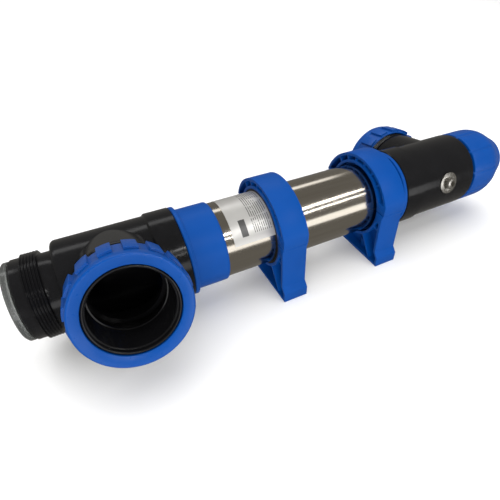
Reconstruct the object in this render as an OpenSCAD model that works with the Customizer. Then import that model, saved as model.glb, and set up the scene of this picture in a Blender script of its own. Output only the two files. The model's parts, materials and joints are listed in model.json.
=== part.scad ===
// Flow-through UV clarifier: a steel tube between two pressure tees, carried by two pipe clamps.
// +X runs along the tube towards the lamp connection, +Y to the rear, +Z up.
// The origin is the middle of the inlet clamp's underside, on the mounting plane.

/* [Layout] */
// Height of the tube axis above the mounting plane
axis_h = 61; // [60:0.5:90]
// Distance between the middles of the two clamps
clamp_gap = 119; // [95:1:400]
// From the inlet clamp's middle to the outer face of the inlet sleeve's flange
inlet_face = 98.5; // [70:0.5:150]
// From the outlet clamp's middle to the outer face of the outlet sleeve's flange
outlet_face = 26.5; // [22:0.5:60]
// Tilt of the inlet branch above the horizontal
inlet_tilt = 20.5; // [0:0.5:45]
// Tilt of the outlet branch above the horizontal
outlet_tilt = -9.5; // [-10:0.5:45]
// How far the inlet union nut's front face stands past the end of its branch
inlet_reach = 43; // [40:0.5:70]
// How far the outlet union nut's front face stands past the end of its branch
outlet_reach = 36; // [36:0.5:70]

/* [Steel tube] */
// Outer diameter of the steel tube
tube_od = 75; // [60:0.5:90]
// Wall of the steel tube
tube_t = 1.5; // [1:0.1:3]
// How far the tube's end stops short of the flange's outer face
tube_stop = 5; // [4.5:0.1:10]
// Gap between the tube and what slides over it
tube_fit = 0.1; // [0.05:0.01:0.5]

/* [Sleeves between the tube and the tees] */
// Length of a sleeve from its flange's outer face to its free end
sleeve_len = 35.5; // [25:0.5:60]
// Wall of a sleeve over the tube
sleeve_t = 2.1; // [1.6:0.1:4]
// Thickness of a sleeve's flange
flange_t = 4; // [3:0.1:8]
// How much lower a sleeve's flange is than the tee's collar
flange_drop = 0.4; // [0:0.1:2]
// Shoulder that the tube's end is sealed against
shoulder_t = 3; // [2:0.1:4]
// Thickness of the flat seal at the tube's end
tube_seal_t = 2; // [1:0.1:4]
// Wall of a sleeve's spigot
spigot_t = 4.4; // [3:0.1:6]
// Length of a sleeve's spigot in the tee
spigot_len = 22; // [15:0.1:22.3]

/* [Tees] */
// Bore of a tee's pipe socket
socket_d = 75; // [70:0.5:90]
// Wall of a tee's body
tee_wall = 4.5; // [3.5:0.1:12]
// Wall of a tee's branch
branch_wall = 3.5; // [2.5:0.1:10]
// Height of the collar round the pipe socket, over the body
collar_h = 1.7; // [1:0.1:5]
// Length of that collar
collar_len = 23; // [10:0.5:30]
// Length of a tee's run
tee_len = 103.5; // [95:0.5:140]
// From the pipe socket's face to the branch axis
branch_x = 57; // [56:0.5:80]
// Gap between the sleeve's flange and the tee
face_gap = 0.4; // [0.2:0.1:1]
// How far the inlet branch stands out of the tee's body
inlet_branch_out = 10; // [4:0.5:18]
// How far the outlet branch stands out of the tee's body
outlet_branch_out = 3; // [1.5:0.5:18]
// Rounding of a tee's free edges
tee_round = 4; // [1:0.5:5]
// Glue gap between a collar and its socket
glue_gap = 0.1; // [0.05:0.01:0.3]

/* [Threaded collars] */
// Outer diameter of a run collar's neck
neck_d = 68.6; // [66:0.2:72]
// Bore of a collar
collar_bore_d = 61; // [58:0.5:62]
// Outer diameter of the thread
thread_d = 75.2; // [72:0.1:80]
// Depth of the thread
thread_h = 1.4; // [1:0.1:2]
// Pitch of the thread
thread_pitch = 2.31; // [2.2:0.01:3]
// Number of thread ridges
thread_turns = 6; // [4:1:10]
// Flat on the crest of a ridge
thread_flat = 0.35; // [0.2:0.05:0.5]
// Gap between a crest and the root that it faces
thread_gap = 0.7; // [0.6:0.05:1]
// Outer diameter of the plain lip past the thread
lip_d = 70.8; // [70:0.1:72]
// Length of the lip
lip_len = 8.6; // [6:0.1:12]
// Length of the neck at the window end
window_neck = 10.5; // [5:0.5:20]
// Length of the neck under the end cap
end_neck = 3; // [2:0.5:6]
// Length of a collar's spigot in a tee's run
collar_spigot = 15; // [8:0.5:15.5]
// Shoulder between a tee's run and the socket in its branch
branch_shoulder = 1.5; // [1:0.1:4]

/* [Ring seals] */
// Cord diameter of a ring seal
seal_d = 2.4; // [2:0.1:4]
// Depth of a ring seal's groove
seal_groove = 1.2; // [0.8:0.1:2]
// Mean diameter of a run collar's ring seal
seal_ring_d = 66; // [64:0.1:68]

/* [Union nuts and tails] */
// Depth of a union nut
nut_depth = 30; // [26:0.5:40]
// How far the plain rim of a nut stands over its valleys
nut_rim_h = 0.8; // [0.2:0.1:4]
// How far the grip lobes stand over the valleys
nut_lobe_h = 2.7; // [1:0.1:6]
// Wall of a nut between its inner thread and the valleys
nut_side = 2.3; // [2:0.1:8]
// Length of the plain rim
nut_rim_len = 9; // [5:0.5:14]
// Number of grip lobes
nut_lobes = 16; // [8:1:24]
// Thickness of a nut's front wall
nut_wall = 6; // [5:0.1:8]
// Gap between a nut and the tail that it turns on
turn_gap = 0.5; // [0.3:0.05:1]
// From a nut's front face back to the threaded collar's face
nut_seat = 12; // [11:0.5:14]
// How far a tail's flange stands out past the ring seal
tail_flange_out = 2; // [1:0.1:3]
// Bore of a tail's pipe socket
pipe_d = 63.3; // [50.3:0.1:75.3]
// Depth of the straight part of that socket
pipe_depth = 30; // [20:0.5:31]
// Step at the end of the socket, where the pipe stops
pipe_stop = 1.1; // [0.8:0.1:5]
// Wall of a tail round its socket, inside the threaded collar
tail_wall = 2.5; // [2:0.1:5]
// How far a tail's mouth lies behind the nut's front face
mouth_recess = 7; // [5:0.1:8]
// Width of the chamfer at the mouth
mouth_chamfer = 0.75; // [0.3:0.05:1]
// Width of the raised bead round the mouth
bead_w = 2.2; // [1.5:0.1:3]
// How far the bead lies behind the nut's front face
bead_recess = 3; // [1:0.1:4]
// Wall of a tail round its mouth, bead included
tail_rim = 3.3; // [3:0.1:6]
// Depth of the dish in a nut's front face
nut_dish = 2; // [0:0.1:3]
// Wall of a union's threaded collar under its thread
union_wall = 5; // [4.6:0.1:8]

/* [Sight glass] */
// Outer diameter of the sight glass
glass_d = 69; // [66:0.5:71]
// Thickness of its rim
glass_rim_t = 5.2; // [3:0.1:8]
// Thickness of its pane
glass_pane_t = 3; // [2:0.1:5]
// How far its plug reaches into the collar
glass_plug = 12; // [8:0.5:20]
// Wall of the plug
glass_plug_t = 3; // [2:0.1:5]

/* [End cap] */
// Diameter over the end cap's flutes
cap_d = 83.6; // [82:0.2:96]
// Gap between the tee and the cap
cap_gap = 1.5; // [1:0.1:3]
// Length of the cap's straight part
cap_straight = 35.2; // [34:0.2:45]
// Length of the cap's cone
cap_cone = 25.3; // [22:0.2:40]
// Diameter at the end of the cone
cap_tip_d = 54.6; // [50:0.2:60]
// Radius of the rounding after the cone
cap_tip_round = 2.5; // [1:0.1:4]
// Number of flutes
cap_flutes = 10; // [6:1:16]
// Diameter of the cutter of one flute
cap_flute_d = 6; // [4:0.5:10]
// Depth of a flute
cap_flute_h = 1.3; // [0.5:0.1:2]
// Thickness of the cap's end wall
cap_end_t = 6; // [4:0.5:8]
// Wall of the cone
cap_wall = 4; // [3:0.1:5]

/* [Lamp and its sleeve] */
// Outer diameter of the quartz sleeve
quartz_d = 24.5; // [20:0.1:30]
// Wall of the quartz sleeve
quartz_t = 1.25; // [1:0.05:2]
// Running gap round the quartz sleeve
quartz_gap = 0.3; // [0.2:0.05:0.6]
// How far the quartz sleeve reaches past its support
quartz_overhang = 20; // [15:1:40]
// Diameter of the lamp's glass
lamp_d = 15; // [12:0.5:16]
// Diameter of the lamp's end pieces
lamp_base_d = 16.8; // [16:0.1:18]
// Length of the lamp's base
lamp_base_len = 22; // [18:0.5:26]
// Length of the lamp's tip piece
lamp_tip_len = 10; // [6:0.5:14]
// Diameter of a contact pin
pin_d = 1.8; // [1.4:0.1:2.4]
// Length of a contact pin outside the base
pin_len = 5.5; // [4:0.5:6]
// Distance between neighbouring pins
pin_pitch = 6; // [5:0.1:8]
// Outer diameter of the lamp socket
socket_od = 22; // [20:0.5:26]
// Length of the lamp socket
socket_len = 8.9; // [8:0.1:12]
// Thickness of the flange of the sleeve's seat
seat_flange_t = 4; // [3:0.1:6]
// Diameter of that flange
seat_flange_d = 71.2; // [70:0.1:73]
// Wall of the boss round the quartz seal
seat_boss_wall = 1.85; // [1.4:0.05:4]
// Height of the seat's boss
seat_boss_h = 8.8; // [6:0.1:10]
// Cord diameter of the seal on the quartz sleeve
quartz_seal_d = 2.6; // [2:0.1:3]
// Thickness of the head of the nut on the quartz sleeve
quartz_nut_t = 4; // [3:0.5:5]
// Width of the support in the steel tube
support_w = 6; // [4:0.5:12]
// Thickness of the support's arms
support_arm_t = 2.5; // [2:0.1:4]

/* [Cable gland] */
// Thread diameter of the gland
gland_d = 15.8; // [12:0.1:16]
// Width across the corners of the gland's hexagons
gland_hex_d = 25.4; // [22:0.2:26]
// Thickness of the gland's flange
gland_flange_t = 4; // [3:0.5:6]
// Length of the gland nut
gland_nut_len = 12.5; // [10:0.5:14]
// Thickness of the locknut inside the cap
gland_locknut_t = 4.5; // [3:0.5:5]
// Cable opening in the grommet
cable_d = 7; // [5:0.1:8]

/* [Earth bolt] */
// Bolt diameter
bolt_d = 8; // [6:0.5:8]
// From the pipe socket's face to the bolt
bolt_x = 61.3; // [45:0.1:75]
// Angle of the bolt above the horizontal, at the front
bolt_angle = 17; // [5:0.5:30]
// Outer diameter of the washer
washer_d = 24; // [20:0.5:26]
// Thickness of the washer
washer_t = 2; // [1:0.1:3]
// Depth of the spot face under the washer
spot_depth = 1.5; // [1.5:0.1:2.5]

/* [Clamps] */
// Width of a clamp along the tube
clamp_w = 26.8; // [22:0.2:40]
// Gap between a clamp and what it holds
clamp_fit = 0.3; // [0.2:0.05:0.6]
// Thickness of a strap over the top of the tube
strap_top_t = 10; // [8:0.5:14]
// How much more a strap and a base grow towards the sides
strap_side_extra = 6; // [4:0.5:9]
// Thickness of the walls of a strap and a base
clamp_wall = 3; // [2.4:0.1:4]
// Thickness of the web between the walls
clamp_web = 4; // [2:0.5:6]
// Thickness of a rib
rib_t = 2.2; // [1.5:0.1:3]
// How far ribs lie below the sides
rib_recess = 1; // [0.5:0.1:3]
// Angle between the ribs of a strap
rib_step = 18; // [12:1:30]
// How far the legs stand inside the outline of the strap
leg_inset = 6.6; // [5:0.1:8]
// Thickness of the foot plate
foot_t = 3; // [2.5:0.1:5]
// How far the foot stands out from the leg
foot_out = 7; // [4:0.1:10]
// Height of the foot's upright face
foot_h = 11; // [6:0.5:14]
// Height of the slope above it
foot_slope_h = 6; // [3:0.5:10]
// Height of a base's top over the tube axis
leg_top = 5; // [4:0.5:8]
// Gap between a base and its strap
part_gap = 1; // [0.6:0.1:2]
// Diameter of a hinge pin
hinge_pin_d = 5; // [4:0.5:6]
// Running gap of a hinge pin, on the radius
pin_gap = 0.06; // [0.02:0.01:0.1]
// Diameter of a hinge knuckle
knuckle_d = 10; // [9:0.5:11]
// Width of the strap's knuckle
knuckle_w = 13; // [10:0.5:16]
// Side gap and radial gap round a knuckle
knuckle_gap = 0.4; // [0.3:0.05:0.8]
// How far the hinge pin lies outside the leg
hinge_out = 3; // [2:0.5:5]
// Distance between the two screws of a base
screw_gap = 40; // [30:1:50]
// Diameter of a screw hole
screw_d = 5.5; // [4:0.1:6]
// Height of a screw boss
screw_boss_h = 12; // [8:0.5:14]
// Diameter of a screw boss and of the way in for its driver
screw_boss_d = 12; // [11:0.5:14]
// Thickness of the rubber liner
liner_t = 1.9; // [1:0.1:3]
// Length of the latch tongue
tongue_len = 8; // [5:0.5:12]
// Thickness of the latch tongue
tongue_t = 2.2; // [1.5:0.1:3]

/* [Rating label] */
// Where the label starts, before the inlet clamp's middle
label_from = 55; // [30:1:60]
// Length of the label along the tube
label_len = 64; // [30:1:64]
// Thickness of the label
label_t = 0.15; // [0.1:0.05:0.2]
// Thickness of the glue under the label
label_glue = 0.03; // [0.02:0.01:0.05]
// Lower edge of the label, above the horizontal at the front
label_low = 22; // [0:1:60]
// Angle that the label covers
label_span = 110; // [40:1:150]

/* [Hidden] */
$fn = 96;
cut = 1;

// Radii
tube_r = tube_od / 2;
sleeve_bore_r = tube_r + tube_fit;
sleeve_r = sleeve_bore_r + sleeve_t;
socket_r = socket_d / 2;
spigot_r = socket_r - glue_gap;
spigot_bore_r = spigot_r - spigot_t;
tee_r = socket_r + tee_wall;
tee_collar_r = tee_r + collar_h;
flange_r = max(tee_collar_r - flange_drop, sleeve_r + 3);
neck_r = neck_d / 2;
branch_r = socket_r + branch_wall;
branch_spigot_from = socket_r + branch_shoulder;
bore_r = collar_bore_d / 2;
crest_r = thread_d / 2;
chamber_r = crest_r + thread_gap;
lip_r = lip_d / 2;
pipe_r = pipe_d / 2;
tail_r = pipe_r + tail_rim;
skirt_r = pipe_r + tail_wall;
union_bore_r = skirt_r + 2 * glue_gap;
union_crest_r = union_bore_r + union_wall + thread_h;
union_chamber_r = union_crest_r + thread_gap;
union_ring_r = union_bore_r + seal_d / 2 + 1.1;
tail_flange_r = union_ring_r + seal_d / 2 + tail_flange_out;
nut_valley_r = union_chamber_r + nut_side;
nut_rim_r = nut_valley_r + nut_rim_h;
nut_lobe_r = nut_valley_r + nut_lobe_h;
hole_r = tail_r + turn_gap;
seal_gap = seal_d - seal_groove;

// Places along the axes
inlet_branch_end = tee_r + inlet_branch_out;
outlet_branch_end = tee_r + outlet_branch_out;
inlet_nut_face = inlet_branch_end + inlet_reach;
outlet_nut_face = outlet_branch_end + outlet_reach;
inlet_x = -inlet_face;
outlet_x = clamp_gap + outlet_face;
flank = thread_h * tan(27.5);
ridge_w = thread_flat + 2 * flank;
thread_len = thread_pitch * (thread_turns - 1) + ridge_w;
collar_top = thread_len + lip_len;
window_face = tee_len + window_neck + collar_top;
end_face = tee_len + end_neck + collar_top;
seat_face = end_face + seal_gap + seat_flange_t;
boss_end = seat_face + seat_boss_h;
quartz_open = boss_end - 2;
nut_head = boss_end + knuckle_gap;
support_x = inlet_x + tube_stop + support_w;
quartz_tip = support_x - quartz_overhang - outlet_x;
quartz_r = quartz_d / 2;
quartz_bore_r = quartz_r + quartz_gap;
seat_boss_r = quartz_bore_r + quartz_seal_d + seat_boss_wall;
base_end = nut_head + quartz_nut_t + 2;
socket_start = base_end - 1.4;
lamp_start = quartz_tip + quartz_d / 2 + 4;
cap_start = tee_len + cap_gap;
cone_start = cap_start + cap_straight;
cone_end = cone_start + cap_cone;
cap_end = cone_end + cap_tip_round;
inner_end = cap_end - cap_end_t;
cone_slope = (cap_d - cap_tip_d) / 2 / cap_cone;
cone_wall = cap_wall * sqrt(1 + cone_slope * cone_slope);

// Clamp outline, in the plane across the tube
hold_r = sleeve_r + clamp_fit;
hoop_r = hold_r + strap_top_t + strap_side_extra;
hoop_z = axis_h - strap_side_extra;
block_y = hoop_r - 4.5;
leg_y = hoop_r - leg_inset;
base_top = axis_h + leg_top;
strap_bottom = base_top + part_gap;
hinge_y = leg_y + hinge_out;
hinge_z = base_top - 1;
hoop_rear_bottom = hinge_z + knuckle_d / 2 + 2;
ear_w = (clamp_w - knuckle_w) / 2 - knuckle_gap;

// ---------- placing ----------
module at_inlet() { translate([inlet_x, 0, axis_h]) mirror([1, 0, 0]) children(); }
module at_outlet() { translate([outlet_x, 0, axis_h]) children(); }
module at_inlet_branch() {
    translate([inlet_x - branch_x, 0, axis_h]) rotate([0, -inlet_tilt, -90]) children();
}
module at_outlet_branch() {
    translate([outlet_x + branch_x, 0, axis_h]) rotate([0, -outlet_tilt, 90]) children();
}
// Turns a profile of [radius, place] points round the local X axis
module lathe(points) { rotate([0, 90, 0]) rotate_extrude() polygon(points); }
module rod(r, from, to, sides = 96) {
    translate([from, 0, 0]) rotate([0, 90, 0]) cylinder(r = r, h = to - from, $fn = sides);
}
module tube(r_out, r_in, from, to) {
    difference() {
        rod(r_out, from, to);
        rod(r_in, from - cut, to + cut);
    }
}
module ring_seal(r, cord_r, x) {
    translate([x, 0, 0]) rotate([0, 90, 0]) rotate_extrude() translate([r, 0]) circle(r = cord_r, $fn = 24);
}
// Points of an arc, for a rounded corner of a profile
function arc(cx, cy, r, from, to, steps = 5) =
    [for (i = [0:steps]) let (a = from + (to - from) * i / steps) [cx + r * cos(a), cy + r * sin(a)]];
// Ridges of an outer thread, from place x upwards
function ridges(x, count, low, high) = [for (i = [0:count - 1], p = [
    [low, 0], [high, flank], [high, flank + thread_flat], [low, ridge_w]]) [p[0], x + i * thread_pitch + p[1]]];
function reversed(v) = [for (i = [len(v) - 1:-1:0]) v[i]];

// ---------- tees ----------
module tee_run_outside() {
    lathe(concat([[0, face_gap], [tee_collar_r - 0.6, face_gap], [tee_collar_r, face_gap + 0.6],
        [tee_collar_r, collar_len], [tee_r, collar_len + collar_h]],
        arc(tee_r - tee_round, tee_len - tee_round, tee_round, 0, 90), [[0, tee_len]]));
}
module branch_outside(end) {
    round = min(tee_round, (end - tee_r) * 0.8);
    lathe(concat([[0, 0], [branch_r, 0]], arc(branch_r - round, end - round, round, 0, 90), [[0, end]]));
}
module tee_bores() {
    rod(socket_r, -cut, tee_len + cut);
}
module branch_bores(end) {
    rod(bore_r, 0, end + cut);
    rod(socket_r, branch_spigot_from, end + cut);
}
module inlet_tee() {
    color([0.03, 0.03, 0.035]) difference() {
        union() {
            at_inlet() tee_run_outside();
            at_inlet_branch() branch_outside(inlet_branch_end);
        }
        at_inlet() tee_bores();
        at_inlet_branch() branch_bores(inlet_branch_end);
    }
}
module outlet_tee() {
    color([0.03, 0.03, 0.035]) difference() {
        union() {
            at_outlet() tee_run_outside();
            at_outlet_branch() branch_outside(outlet_branch_end);
        }
        at_outlet() tee_bores();
        at_outlet_branch() branch_bores(outlet_branch_end);
        at_bolt() {
            rod(bolt_d / 2 + 0.2, 0, tee_collar_r + cut);
            rod(washer_d / 2 + 1, spot_out, tee_collar_r + cut);
            rod(earth_seal_r + 0.5, 0, spot_in);
        }
    }
}

// ---------- sleeves, tube, label ----------
module sleeve() {
    lathe([[spigot_bore_r, spigot_len], [spigot_r - 0.8, spigot_len], [spigot_r, spigot_len - 0.8],
        [spigot_r, 0], [flange_r - 0.6, 0], [flange_r, -0.6], [flange_r, 0.6 - flange_t],
        [flange_r - 0.6, -flange_t], [sleeve_r, -flange_t], [sleeve_r, 1.2 - sleeve_len],
        [sleeve_r - 1.1, -sleeve_len], [sleeve_bore_r, -sleeve_len], [sleeve_bore_r, -shoulder_t],
        [spigot_bore_r, -shoulder_t]]);
}
module sleeve_seal() { tube(tube_r, max(tube_r - 4, spigot_bore_r), -shoulder_t - tube_seal_t, -shoulder_t); }
module inlet_sleeve() { color([0, 0.2, 0.62]) at_inlet() sleeve(); }
module outlet_sleeve() { color([0, 0.2, 0.62]) at_outlet() sleeve(); }
module inlet_sleeve_seal() { color([0.05, 0.05, 0.05]) at_inlet() sleeve_seal(); }
module outlet_sleeve_seal() { color([0.05, 0.05, 0.05]) at_outlet() sleeve_seal(); }
module reactor_tube() {
    color([0.72, 0.7, 0.66]) translate([0, 0, axis_h])
        tube(tube_r, tube_r - tube_t, inlet_x + tube_stop, outlet_x - tube_stop);
}
module rating_label() {
    color([0.8, 0.8, 0.78]) translate([-label_from, 0, axis_h]) rotate([180 - label_low - label_span, 0, 0])
        rotate([90, 0, 90]) rotate_extrude(angle = label_span) translate([tube_r + label_glue, 0])
            square([label_t, label_len]);
}

// ---------- threaded collars ----------
// x = 0 is the tee's end face
module threaded_collar(neck, spigot, neck_r, crest_r, lip_r, ring_r, bore_r) {
    top = neck + collar_top;
    groove = seal_d / 2 + 0.1;
    lathe(concat([[bore_r, -spigot], [spigot_r - 0.6, -spigot], [spigot_r, 0.6 - spigot], [spigot_r, 0], [neck_r, 0],
        [neck_r, neck]],
        ridges(neck, thread_turns, crest_r - thread_h, crest_r),
        [[lip_r, neck + thread_len], [lip_r, top - 0.8], [lip_r - 0.8, top], [ring_r + groove, top],
        [ring_r + groove, top - seal_groove], [ring_r - groove, top - seal_groove], [ring_r - groove, top],
        [bore_r, top]]));
}
module run_collar(neck) { threaded_collar(neck, collar_spigot, neck_r, crest_r, lip_r, seal_ring_d / 2, bore_r); }
module face_seal(face, ring_r = seal_ring_d / 2) { ring_seal(ring_r, seal_d / 2, face - seal_groove + seal_d / 2); }
module window_collar() {
    color([0.03, 0.03, 0.035]) at_inlet() translate([tee_len, 0, 0]) run_collar(window_neck);
}
module end_collar() {
    color([0.03, 0.03, 0.035]) at_outlet() translate([tee_len, 0, 0]) run_collar(end_neck);
}
module branch_collar(face, end) {
    translate([end, 0, 0])
        threaded_collar(face - nut_seat - collar_top - end, end - branch_spigot_from, spigot_r, union_crest_r,
            union_ring_r + seal_d / 2 + 1.1, union_ring_r, union_bore_r);
}
module inlet_union_collar() {
    color([0.03, 0.03, 0.035]) at_inlet_branch() branch_collar(inlet_nut_face, inlet_branch_end);
}
module outlet_union_collar() {
    color([0.03, 0.03, 0.035]) at_outlet_branch() branch_collar(outlet_nut_face, outlet_branch_end);
}
module inlet_union_seal() { color([0.05, 0.05, 0.05]) at_inlet_branch() face_seal(inlet_nut_face - nut_seat, union_ring_r); }
module outlet_union_seal() { color([0.05, 0.05, 0.05]) at_outlet_branch() face_seal(outlet_nut_face - nut_seat, union_ring_r); }

// ---------- sight glass ----------
module sight_glass() {
    color([0.8, 0.86, 0.88, 0.4]) at_inlet() {
        face = window_face + seal_gap;
        plug_r = bore_r - 0.2;
        lathe([[0, face], [0, face + glass_pane_t], [plug_r - glass_plug_t - 2, face + glass_pane_t],
            [plug_r - glass_plug_t, face + glass_rim_t], [glass_d / 2 - 1.5, face + glass_rim_t],
            [glass_d / 2, face + glass_rim_t - 1.5], [glass_d / 2, face + 0.5], [glass_d / 2 - 0.5, face],
            [plug_r, face], [plug_r, window_face - glass_plug], [plug_r - glass_plug_t, window_face - glass_plug],
            [plug_r - glass_plug_t, face]]);
    }
}
module sight_glass_seal() { color([0.05, 0.05, 0.05]) at_inlet() face_seal(window_face); }

// ---------- unions ----------
// Grip lobes: each rises steeply, runs level and falls over a slope
function lobe_outline() = [for (i = [0:nut_lobes - 1], p = [
    [0, nut_valley_r], [0.08, nut_lobe_r], [0.56, nut_lobe_r], [0.7, nut_valley_r]])
    let (a = (i + p[0]) * 360 / nut_lobes) [p[1] * cos(a), p[1] * sin(a)]];
module union_nut(face) {
    first = face - nut_seat - collar_top + thread_pitch * 2.5;
    back = face - nut_depth;
    hole_edge = face - nut_dish;
    difference() {
        union() {
            lathe([[tail_r, face - nut_rim_len - 0.2], [nut_rim_r, face - nut_rim_len - 0.2], [nut_rim_r, face - 1.5],
                [nut_rim_r - 1.5, face], [tail_r, hole_edge]]);
            translate([back, 0, 0]) rotate([0, 90, 0])
                linear_extrude(height = nut_depth - nut_rim_len) polygon(lobe_outline());
        }
        lathe(concat([[0, back - cut], [union_chamber_r + 0.8, back - cut], [union_chamber_r + 0.8, back],
            [union_chamber_r, back + 0.8]],
            ridges(first, 4, union_chamber_r, union_chamber_r - thread_h),
            [[union_chamber_r, face - nut_wall], [hole_r, face - nut_wall], [hole_r, hole_edge - 0.6],
            [hole_r + 0.6, hole_edge], [hole_r + 0.6, face + cut], [0, face + cut]]));
    }
}
module union_tail(face) {
    seat = face - nut_seat + seal_gap;
    mouth = face - mouth_recess;
    flange_front = face - nut_wall - knuckle_gap;
    chamfer_end = mouth - mouth_chamfer;
    stop = chamfer_end - pipe_depth;
    bead_r = bead_w / 2;
    lathe(concat([[pipe_r - pipe_stop, stop - 2.5], [skirt_r - 0.8, stop - 2.5], [skirt_r, stop - 1.7], [skirt_r, seat],
        [tail_flange_r, seat], [tail_flange_r, flange_front], [tail_r, flange_front]],
        arc(tail_r - bead_r, face - bead_recess - bead_r, bead_r, 0, 180),
        [[tail_r - bead_w, mouth], [pipe_r + mouth_chamfer, mouth], [pipe_r, chamfer_end], [pipe_r, stop],
        [pipe_r - pipe_stop, stop]]));
}
module inlet_union_nut() { color([0, 0.2, 0.62]) at_inlet_branch() union_nut(inlet_nut_face); }
module outlet_union_nut() { color([0, 0.2, 0.62]) at_outlet_branch() union_nut(outlet_nut_face); }
module inlet_union_tail() { color([0.03, 0.03, 0.035]) at_inlet_branch() union_tail(inlet_nut_face); }
module outlet_union_tail() { color([0.03, 0.03, 0.035]) at_outlet_branch() union_tail(outlet_nut_face); }

// ---------- end cap ----------
module end_cap() {
    first = tee_len + end_neck + thread_pitch * 0.5;
    chamber_end = seat_face + 1;
    color([0, 0.2, 0.62]) at_outlet() difference() {
        lathe(concat([[0, cap_start], [cap_d / 2 - 0.8, cap_start], [cap_d / 2, cap_start + 0.8],
            [cap_d / 2, cone_start]],
            arc(cap_tip_d / 2 - cap_tip_round, cone_end, cap_tip_round, 0, 90), [[0, cap_end]]));
        lathe(concat([[0, cap_start - cut], [chamber_r, cap_start - cut], [chamber_r, first]],
            ridges(first, thread_turns, chamber_r, chamber_r - thread_h),
            [[chamber_r, chamber_end], [cap_d / 2 - cone_wall, cone_start],
            [cap_d / 2 - cone_wall - cone_slope * (inner_end - cone_start), inner_end], [0, inner_end]]));
        rod(gland_d / 2 + 0.2, inner_end - cut, cap_end + cut);
        for (i = [0:cap_flutes - 1]) rotate([i * 360 / cap_flutes, 0, 0])
            translate([0, 0, cap_d / 2 + cap_flute_d / 2 - cap_flute_h]) rod(cap_flute_d / 2, cap_start - cut, cap_end, 32);
    }
}

// ---------- lamp sleeve and lamp ----------
module sleeve_seat() {
    plug_r = bore_r - 0.2;
    color([0.85, 0.85, 0.83]) at_outlet()
        lathe([[quartz_bore_r, end_face - 14], [plug_r, end_face - 14], [plug_r, end_face + seal_gap],
            [seat_flange_d / 2, end_face + seal_gap], [seat_flange_d / 2, seat_face], [seat_boss_r, seat_face],
            [seat_boss_r, boss_end], [quartz_bore_r + quartz_seal_d, boss_end],
            [quartz_bore_r + quartz_seal_d, seat_face], [quartz_bore_r, seat_face]]);
}
module sleeve_seat_seal() { color([0.05, 0.05, 0.05]) at_outlet() face_seal(end_face); }
module quartz_sleeve() {
    r_in = quartz_r - quartz_t;
    color([0.85, 0.9, 0.95, 0.35]) at_outlet() {
        tube(quartz_r, r_in, quartz_tip + quartz_r, quartz_open);
        translate([quartz_tip + quartz_r, 0, 0]) difference() {
            sphere(r = quartz_r);
            sphere(r = r_in);
            rod(quartz_r + cut, 0, quartz_d);
        }
    }
}
module quartz_seal() {
    color([0.05, 0.05, 0.05]) at_outlet()
        ring_seal(quartz_r + quartz_seal_d / 2, quartz_seal_d / 2, seat_face + quartz_seal_d / 2);
}
module quartz_nut() {
    spigot = quartz_bore_r + quartz_seal_d - quartz_gap;
    color([0.85, 0.85, 0.83]) at_outlet() difference() {
        union() {
            rod(spigot, seat_face + quartz_seal_d + 0.3, nut_head + 1);
            rod(seat_boss_r + 2, nut_head, nut_head + quartz_nut_t, 8);
        }
        rod(quartz_bore_r, seat_face, nut_head + quartz_nut_t + cut);
    }
}
module quartz_support() {
    tube_in = tube_r - tube_t;
    color([0.85, 0.85, 0.83]) translate([0, 0, axis_h]) {
        from = support_x;
        tube(tube_in - 0.1, tube_in - 2.2, from, from + support_w);
        tube(quartz_bore_r + 3, quartz_bore_r, from, from + support_w);
        for (i = [0:2]) rotate([i * 120 + 90, 0, 0])
            translate([from, quartz_bore_r + 2.6, -support_arm_t / 2])
                cube([support_w, tube_in - 2 - quartz_bore_r - 2.6, support_arm_t]);
    }
}
module lamp_glass() {
    color([0.9, 0.93, 0.96, 0.5]) at_outlet() rod(lamp_d / 2, lamp_start + 4, base_end - lamp_base_len + 4);
}
module lamp_tip() {
    color([0.9, 0.9, 0.88]) at_outlet() difference() {
        rod(lamp_base_d / 2, lamp_start, lamp_start + lamp_tip_len);
        rod(lamp_d / 2, lamp_start + 4, lamp_start + lamp_tip_len + cut);
    }
}
module lamp_base() {
    start = base_end - lamp_base_len;
    color([0.9, 0.9, 0.88]) at_outlet() difference() {
        rod(lamp_base_d / 2, start, base_end);
        rod(lamp_d / 2, start - cut, start + 4);
    }
}
module pin_places() {
    for (y = [-0.5, 0.5], z = [-0.5, 0.5]) translate([0, y * pin_pitch, z * pin_pitch]) children();
}
module lamp_pins() { color([0.8, 0.68, 0.35]) at_outlet() pin_places() rod(pin_d / 2, base_end, base_end + pin_len, 24); }
module lamp_wire() {
    color([0.75, 0.75, 0.75]) at_outlet() translate([0, 0, lamp_d / 2 + 0.45])
        rod(0.4, lamp_start + lamp_tip_len, base_end - lamp_base_len, 16);
}
module lamp_socket() {
    color([0.93, 0.93, 0.9]) at_outlet() difference() {
        rod(socket_od / 2, socket_start, socket_start + socket_len);
        rod(lamp_base_d / 2 + 0.3, socket_start - cut, base_end + 0.3);
        pin_places() rod(pin_d / 2 + 0.2, base_end, base_end + pin_len + 0.5, 24);
    }
}

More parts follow.
